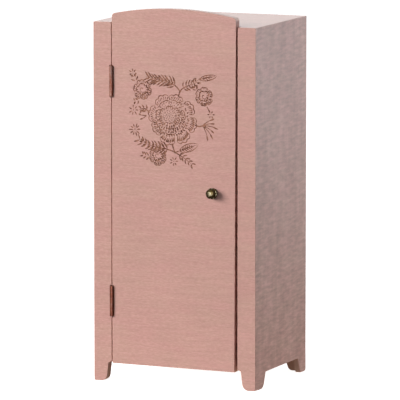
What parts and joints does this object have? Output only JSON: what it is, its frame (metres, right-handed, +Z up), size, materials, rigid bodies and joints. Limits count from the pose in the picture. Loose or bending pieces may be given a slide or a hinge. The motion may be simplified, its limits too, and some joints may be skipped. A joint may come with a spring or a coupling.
{
  "type": "miniature wardrobe",
  "caption": "Doll-sized painted wardrobe on bracket feet, with an arched door on side hinges, an engraved flower spray, a small round knob, a hat shelf and a hanging rail.",
  "frame": {"origin": "on the floor, under the middle of the whole object's box, knob and hinges included", "axes": "+Z up, front faces -Y, +X to the right as seen from the front"},
  "size_m": [0.099, 0.0814, 0.2138],
  "materials": {
    "painted_board": "eggshell paint over brushed board",
    "turned_birch": "bare, sanded",
    "aged_brass": "antiqued, rubbed bright on the high spots",
    "nickel_plate": "satin nickel"
  },
  "bodies": {
    "carcass": {"left_side_panel": "painted_board", "right_side_panel": "painted_board", "left_front_stile": "painted_board", "right_front_stile": "painted_board", "top_panel": "painted_board", "bottom_panel": "painted_board", "back_panel": "painted_board", "hat_shelf": "painted_board", "left_shelf_cleat": "painted_board", "right_shelf_cleat": "painted_board", "hanging_rail": "turned_birch", "left_rail_socket": "turned_birch", "right_rail_socket": "turned_birch", "catch_block": "painted_board", "catch_magnet": "nickel_plate", "upper_hinge_frame_leaf": "aged_brass", "lower_hinge_frame_leaf": "aged_brass", "upper_hinge_pin": "aged_brass", "lower_hinge_pin": "aged_brass", "hinge_frame_screws": "aged_brass"},
    "door": {"door_panel": "painted_board", "door_knob": "aged_brass", "knob_rosette": "aged_brass", "knob_screw": "aged_brass", "door_magnet": "nickel_plate", "upper_hinge_door_leaf": "aged_brass", "lower_hinge_door_leaf": "aged_brass", "hinge_door_screws": "aged_brass"}
  },
  "joints": [
    {"name": "door_swing", "type": "hinge", "parent": "carcass", "child": "door", "pos_m": [-0.0383, -0.0363, 0.109], "axis": [0, 0, -1], "range_deg": [0, 180]}
  ]
}
